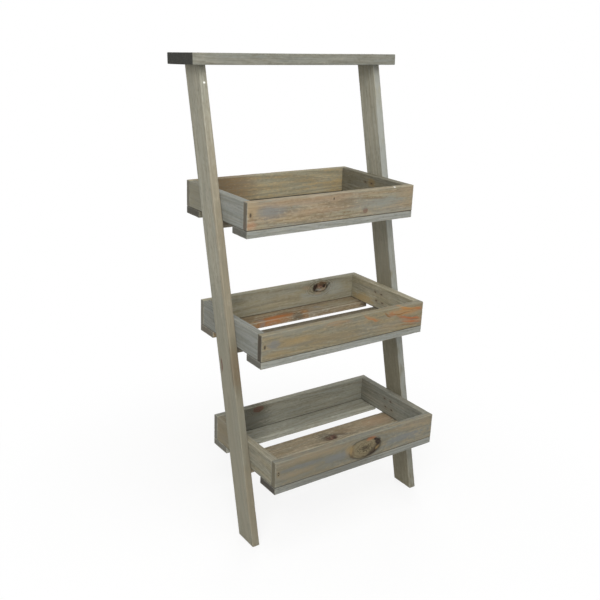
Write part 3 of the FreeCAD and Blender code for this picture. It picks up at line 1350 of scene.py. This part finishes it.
def upper_tray_finishes() -> dict[Board, WoodFinish]:
    """Chooses the woods of the upper tray: a warm, mottled front on blue-grey boards.

    Returns:
        The finish of each board.
    """
    front = WoodFinish(
        seed=1.3,
        late=Tone.LATE_BROWN,
        cool_share=0.65,
        warm_share=0.8,
        contrast=1.2,
        flares=(
            Flare(-206, 14, 20, 22, Tone.DRIFT_TAN, 0.9),
            Flare(-207, -18, 16, 12, Tone.FLAME_ORANGE, 0.4),
            Flare(-206, 2, 7, 14, Tone.LATE_BROWN, 0.5),
            Flare(-158, 4, 38, 22, Tone.SLATE_BLUE, 0.75),
            Flare(-60, 20, 150, 9, Tone.PINK_TAN, 0.7),
            Flare(-50, -4, 90, 8, Tone.PINK_TAN, 0.6),
            Flare(0, 6, 60, 9, Tone.LATE_BROWN, 0.5),
            Flare(-63, -22, 60, 7, Tone.LATE_GREY, 0.4),
            Flare(-39, -16, 24, 5, Tone.LATE_BROWN, 0.5),
            Flare(120, -4, 90, 14, Tone.BLUE_GREY, 0.8),
            Flare(200, 12, 34, 10, Tone.DRIFT_TAN, 0.6),
            Flare(150, -21, 90, 9, Tone.BLUE_GREY, 0.6),
            Flare(-5, 18, 2, 4, Tone.CHARRED, 0.9, tear=0.0),
            Flare(160, 29, 2.8, 2.2, Tone.CHIP_WHITE, 1.6, tear=0.0, through=6.0, half_through=4.5),
        ),
        knots=(Knot(80.8, -15.0, 6, 6, Tone.RED_BROWN, Tone.RED_BROWN, 0.6, 0.4, specks=0.2),),
    )
    back = WoodFinish(
        seed=2.1,
        warm=Tone.HONEY,
        warm_share=0.8,
        cool_share=0.2,
        late_depth=0.4,
        # level raised: painted light on this inner board
        level=1.34,
        # painted shade: the flare darkens the board's left end
        flares=(Flare(-125, 0, 95, 60, Tone.BARK_BROWN, 0.9, tear=0.6),),
    )
    left_side = WoodFinish(
        seed=3.4,
        ground=Tone.SILVER_GREY,
        warm_share=0.1,
        contrast=0.8,
        level=0.86,
        # painted shade: the flare darkens the side's back end
        flares=(Flare(95, 0, 60, 60, Tone.OLIVE_GREY, 0.9, tear=0.6),),
    )
    patch = Flare(0, 11, 16, 11, Tone.HONEY, 0.9)
    # level lowered: painted shade on this inner side
    right_side = WoodFinish(seed=4.2, warm_share=0.2, level=0.64, flares=(patch,))
    return {
        Board.FRONT: front,
        Board.BACK: back,
        Board.LEFT_SIDE: left_side,
        Board.RIGHT_SIDE: right_side,
        Board.FRONT_SLAT: WoodFinish(seed=5.7, ground=Tone.SILVER_GREY, warm_share=0.1),
        # level lowered: painted shade on the middle slat
        Board.MIDDLE_SLAT: WoodFinish(seed=6.1, ground=Tone.DULL_BROWN, warm_share=0.3, level=0.6),
        Board.BACK_SLAT: WoodFinish(seed=7.9, warm_share=0.1, level=0.75),
    }


def middle_tray_finishes() -> dict[Board, WoodFinish]:
    """Chooses the woods of the middle tray: flame figure on the front and a knot in the back.

    Returns:
        The finish of each board.
    """
    front = WoodFinish(
        seed=11.2,
        end=Tone.IRON_STAIN,
        warm=Tone.HONEY,
        level=0.86,
        warm_share=0.6,
        cool_share=0.6,
        pith_across=4.0,
        pith_depth=-16.0,
        taper=-0.06,
        flares=(
            Flare(-140, 4, 70, 12, Tone.HONEY, 0.6),
            Flare(-120, 24, 110, 6, Tone.ASH_GREY, 0.7),
            Flare(-186, 4, 18, 10, Tone.SLATE_BLUE, 1.0),
            Flare(-180, -16, 40, 8, Tone.HONEY, 0.5),
            Flare(-40, -8, 120, 10, Tone.DULL_BROWN, 0.6),
            Flare(-24, 21, 40, 6, Tone.FLAME_AMBER, 0.5, 0.4, -0.04),
            Flare(66, 14, 28, 5, Tone.FLAME_AMBER, 0.6, 0.2, -0.45, 1.3, 0.8),
            Flare(66, 13, 24, 2, Tone.FLAME_ORANGE, 0.7, 0.0, -0.45, 0.6, 0.8),
            Flare(164, 15, 56, 10, Tone.FLAME_AMBER, 1.0, 0.4, -0.1, 0.7, 0.4),
            Flare(180, -8, 42, 10, Tone.FLAME_ORANGE, 0.7, 0.4, -0.2, 0.7, 0.4),
            Flare(172, 20, 34, 3.4, Tone.FLAME_AMBER, 1.2, 0.0, -0.2, 0.5, 0.9),
            Flare(176, 17, 26, 1.6, Tone.FLAME_BROWN, 0.8, 0.0, -0.16, 0.5, 0.9),
            Flare(200, 15, 14, 3.6, Tone.FLAME_ORANGE, 0.8, 0.0, -0.05, 0.9),
            Flare(146, 13, 30, 2, Tone.FLAME_BROWN, 1.0, 0.0, -0.1, 0.6, 0.8),
            Flare(122, 17, 12, 7, Tone.FLAME_ORANGE, 0.55, 0.0, -0.3, 1.1),
            Flare(111, 15, 14, 2.6, Tone.FLAME_BROWN, 1.0, 0.0, -0.8, 0.5, 0.6),
            Flare(176, -2, 38, 2.6, Tone.FLAME_ORANGE, 1.0, 0.0, -0.25, 0.5, 0.6),
            Flare(184, -7, 24, 1.8, Tone.RED_BROWN, 0.6, 0.0, -0.2, 0.5, 0.6),
            Flare(180, -12, 28, 2.2, Tone.FLAME_ORANGE, 0.9, 0.0, -0.16, 0.5),
            Flare(170, -17, 26, 1.8, Tone.FLAME_BROWN, 1.0, 0.0, -0.12, 0.5),
            Flare(130, -12, 60, 12, Tone.DRIFT_TAN, 0.4),
        ),
    )
    back = WoodFinish(
        seed=12.8,
        warm_share=0.2,
        # level raised: painted light on this inner board
        level=1.46,
        contrast=0.8,
        knots=(Knot(102, 11, 21, 12, Tone.KNOT_TAN, Tone.CHARRED, 0.9, 1.4, 180.0, 1.0, 1.1, 0.5),),
        flares=(
            Flare(106, 20, 18, 6, Tone.BARK_BROWN, 1.3),
            Flare(100, 15, 14, 6, Tone.RED_BROWN, 0.9, tear=1.4),
            Flare(107, 18, 15, 6, Tone.CHARRED, 0.8, tear=2.0),
            Flare(97, 6, 12, 3.4, Tone.SILVER_GREY, 0.7, tear=0.8),
            Flare(84, 12, 4.4, 11, Tone.CHARRED, 1.4, tear=0.4),
            Flare(113, 13, 5.4, 5, Tone.CHARRED, 2.0, tear=0.3),
            Flare(123, 10, 12, 3.4, Tone.CHARRED, 1.3, slope=0.9, tear=0.5),
            Flare(144, 3, 30, 18, Tone.SILVER_GREY, 0.7),
            Flare(60, -4, 20, 14, Tone.SILVER_GREY, 0.6, tear=1.3),
            Flare(96, -8, 30, 9, Tone.SILVER_GREY, 0.5),
            Flare(96, -3, 12, 4, Tone.PINK_TAN, 0.6),
            Flare(61, 15, 14, 6, Tone.PINK_TAN, 0.6),
        ),
    )
    back_slat = WoodFinish(
        seed=17.5,
        ground=Tone.DULL_BROWN,
        cool_share=0.4,
        late=Tone.LATE_BROWN,
        # level raised: painted light on this inner slat
        level=1.3,
        contrast=1.3,
        flares=(
            Flare(-150, -6, 110, 24, Tone.BARK_BROWN, 0.6),
            Flare(-44, -19, 62, 15, Tone.FLAME_BROWN, 1.1, slope=0.1, tear=0.5),
            Flare(-44, -19, 52, 11, Tone.FLAME_ORANGE, 0.55, slope=0.14, tear=0.8),
            Flare(-98, -26, 26, 5, Tone.FLAME_BROWN, 0.9, tear=0.6),
            Flare(-88, -22, 12, 8, Tone.SLATE_BLUE, 0.7),
            Flare(-16, -4, 30, 12, Tone.BARK_BROWN, 0.7),
            Flare(12, -26, 18, 14, Tone.CHARRED, 0.6, tear=1.6),
            Flare(34, -18, 16, 12, Tone.FLAME_BROWN, 0.8, slope=0.5, tear=0.8),
            Flare(36, -18, 10, 4, Tone.FLAME_AMBER, 0.5, slope=0.6, tear=0.8),
            Flare(130, -10, 80, 18, Tone.OLIVE_GREY, 0.5),
            Flare(96, -2, 26, 5, Tone.HONEY, 0.5, tear=0.7),
            Flare(79, -6, 14, 9, Tone.SLATE_BLUE, 0.7),
            # painted shadow: dark patch at the slat's right end, by the gap
            Flare(212, -22, 26, 12, Tone.CHARRED, 0.9, tear=0.6),
        ),
    )
    left_side = WoodFinish(seed=13.3, ground=Tone.SILVER_GREY, warm_share=0.1, contrast=0.8, level=0.82)
    patch = Flare(65, -18, 45, 12, Tone.HONEY, 0.8)
    # level raised: painted light on this inner side
    right_side = WoodFinish(seed=14.6, warm_share=0.3, level=1.25, flares=(patch,))
    return {
        Board.FRONT: front,
        Board.BACK: back,
        Board.LEFT_SIDE: left_side,
        Board.RIGHT_SIDE: right_side,
        Board.FRONT_SLAT: WoodFinish(seed=15.1, ground=Tone.SILVER_GREY, warm_share=0.1),
        Board.MIDDLE_SLAT: WoodFinish(seed=16.4, ground=Tone.DULL_BROWN, warm_share=0.3, level=0.65),
        Board.BACK_SLAT: back_slat,
    }


def lower_tray_finishes() -> dict[Board, WoodFinish]:
    """Chooses the woods of the lower tray: a large knot in the front over blue-grey bands.

    Returns:
        The finish of each board.
    """
    front = WoodFinish(
        seed=21.7,
        ground=Tone.ASH_GREY,
        end=Tone.LATE_GREY,
        warm=Tone.HONEY,
        level=0.85,
        cool_share=0.6,
        warm_share=0.5,
        flares=(
            # painted shade: the flare darkens the board's left part
            Flare(-130, 0, 120, 60, Tone.LATE_GREY, 0.55, tear=0.5),
            Flare(-115, 21, 110, 9, Tone.DRIFT_TAN, 0.6),
            Flare(-56, -4, 40, 10, Tone.SLATE_BLUE, 0.9),
            Flare(-157, -8, 60, 7, Tone.DRIFT_TAN, 0.5),
            Flare(-150, 6, 60, 6, Tone.SLATE_BLUE, 0.6),
            Flare(133, -6, 60, 10, Tone.SLATE_BLUE, 0.8),
            Flare(150, 18, 70, 9, Tone.DRIFT_TAN, 0.6),
            Flare(-24, 3, 14, 14, Tone.HONEY, 0.7),
            Flare(-16, -8, 8, 12, Tone.BARK_BROWN, 0.6, tear=0.6),
            Flare(35, 18, 15, 7, Tone.FLAME_ORANGE, 0.6),
            Flare(54, 6, 10, 10, Tone.CHARRED, 1.4, slope=0.8, tear=0.8),
            Flare(47, 12, 6, 5, Tone.CHARRED, 1.3, tear=0.8),
            Flare(40, -14, 22, 7, Tone.CHARRED, 0.9, slope=0.5, tear=1.2),
            Flare(18, -2, 16, 7, Tone.CHARRED, 0.9, tear=1.7),
            Flare(53, -9, 9, 4.4, Tone.HONEY, 0.9, slope=1.0, tear=0.6),
            Flare(-20, -3, 4, 13, Tone.HONEY, 0.8, tear=0.6),
        ),
        knots=(Knot(18.5, -2.5, 45, 24, Tone.KNOT_OLIVE, Tone.CHARRED, 0.85, 1.0, -35.0, 0.8),),
    )
    back = WoodFinish(
        seed=22.4,
        ground=Tone.ASH_GREY,
        warm_share=0.15,
        late_depth=0.35,
        # level raised: painted light on this inner board
        level=1.38,
        # painted shade: the dark flare at the board's left end
        flares=(Flare(-150, 0, 85, 60, Tone.BLACK_END, 0.6, tear=0.6),),
        knots=(Knot(-107, 20, 15, 8, Tone.RED_BROWN, Tone.LATE_BROWN, 0.7, 0.5, swirl=0.8),),
    )
    left_side = WoodFinish(
        seed=23.9,
        warm_share=0.25,
        level=0.9,
        # painted shade: the flare darkens the side's back end
        flares=(Flare(95, 0, 60, 60, Tone.DULL_BROWN, 0.6, tear=0.6),),
    )
    front_slat = WoodFinish(
        seed=25.8,
        ground=Tone.SILVER_GREY,
        end=Tone.IRON_STAIN,
        warm_share=0.1,
        level=0.9,
        # painted shade: the flare darkens the slat's left part
        flares=(Flare(-60, 0, 190, 60, Tone.DARK_END, 0.6, tear=0.5),),
    )
    middle_slat = WoodFinish(
        seed=26.2,
        ground=Tone.DULL_BROWN,
        # level raised: painted light on this inner slat
        level=1.2,
        warm_share=0.5,
        cool_share=0.3,
        flares=(
            Flare(158, 0, 60, 24, Tone.PINK_TAN, 0.7),
            Flare(57, 0, 40, 14, Tone.BARK_BROWN, 0.6),
            # dark patch by the knot: stain, deepened with painted shade
            Flare(6, -3, 30, 18, Tone.IRON_STAIN, 0.5),
            Flare(40, -9, 46, 6, Tone.IRON_STAIN, 0.7, slope=-0.3),
            Flare(14, -10, 17, 10, Tone.RED_BROWN, 0.8, tear=1.4),
            Flare(10, -9, 18, 10, Tone.CHARRED, 0.7, tear=1.7),
            Flare(22, -13, 6, 5, Tone.CHARRED, 1.0),
        ),
        knots=(Knot(13.5, -11.5, 18, 11, Tone.BARK_BROWN, Tone.CHARRED, 0.5, 0.6, 30.0, 1.0),),
    )
    # level raised: painted light on this inner slat
    back_slat = WoodFinish(seed=27.1, ground=Tone.ASH_GREY, warm_share=0.1, late_depth=0.35, level=1.35)
    return {
        Board.FRONT: front,
        Board.BACK: back,
        Board.LEFT_SIDE: left_side,
        Board.RIGHT_SIDE: WoodFinish(seed=24.3, ground=Tone.ASH_GREY, warm_share=0.2, level=0.9),
        Board.FRONT_SLAT: front_slat,
        Board.MIDDLE_SLAT: middle_slat,
        Board.BACK_SLAT: back_slat,
    }


def stringer_finishes() -> dict[str, WoodFinish]:
    """Chooses the woods of the two stringers: even, straight-grained grey, with painted shade that darkens
    them towards the foot.

    Returns:
        The finish of each board.
    """
    left = WoodFinish(
        seed=31.4,
        ground=Tone.DRIFT_GREY,
        edge_depth=0.15,
        level=1.08,
        cool_share=0.25,
        warm_share=0.15,
        late_depth=0.2,
        flares=(
            # painted shade: darker towards the foot
            Flare(-330, 0, 460, 90, Tone.LATE_GREY, 0.5, tear=0.3),
            Flare(100, -28, 330, 8, Tone.DRIFT_TAN, 0.45, tear=0.6),
            Flare(-60, -29, 560, 5, Tone.LATE_GREY, 0.35, tear=0.5),
            Flare(-420, -29, 160, 5, Tone.DULL_BROWN, 0.5, tear=0.5),
            Flare(-120, -28, 70, 10, Tone.LATE_GREY, 0.8, tear=0.5),
            Flare(-120, -28, 50, 8, Tone.BARK_BROWN, 0.6, tear=0.8),
            Flare(-115, 16, 20, 4, Tone.RED_BROWN, 1.0, tear=0.6),
            Flare(-115, 16, 16, 3, Tone.CHARRED, 0.5, tear=0.6),
            Flare(462, -27, 2.6, 4, Tone.CHIP_WHITE, 1.6, tear=0.0, through=-1.0, half_through=2.6),
        ),
    )
    right = WoodFinish(
        seed=32.6,
        ground=Tone.DRIFT_GREY,
        edge_depth=0.15,
        # level raised: painted light on the stringer's shaded inner face
        level=1.15,
        cool_share=0.2,
        warm_share=0.2,
        flares=(
            # painted shade: darker towards the foot
            Flare(-400, 0, 700, 130, Tone.LATE_GREY, 1.0, tear=0.3),
            # painted light: the front face is painted paler than the shaded inner face
            Flare(-60, -29, 520, 4, Tone.SILVER_GREY, 0.8, tear=0.5),
            Flare(370, -29, 260, 4, Tone.SILVER_GREY, 0.8, tear=0.5),
        ),
    )
    return {"left_stringer": left, "right_stringer": right}


def top_finish() -> WoodFinish:
    """Chooses the wood of the top board: cool grey with black ends."""
    shares = {"cool_share": 0.8, "warm_share": 0.1, "edge_depth": 0.0}
    return WoodFinish(seed=41.9, ground=Tone.ASH_GREY, level=0.9, end=Tone.BLACK_END, **shares)


def main() -> None:
    """Builds the stand piece by piece."""
    logging.basicConfig(level=logging.INFO, format="%(message)s")
    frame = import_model()
    shop = Workshop()
    ladder = Ladder(shop, frame["nodes"], stringer_finishes(), top_finish())
    ladder.build()
    rake = ladder.rake()
    trays = (
        Tray(shop, "upper_tray", upper_tray_finishes(), rake),
        Tray(shop, "middle_tray", middle_tray_finishes(), rake),
        Tray(shop, "lower_tray", lower_tray_finishes(), rake, front_nail_wash=(0.7, 0.9)),
    )
    for tray in trays:
        tray.build()
    Studio().build()


if __name__ == "__main__":
    main()
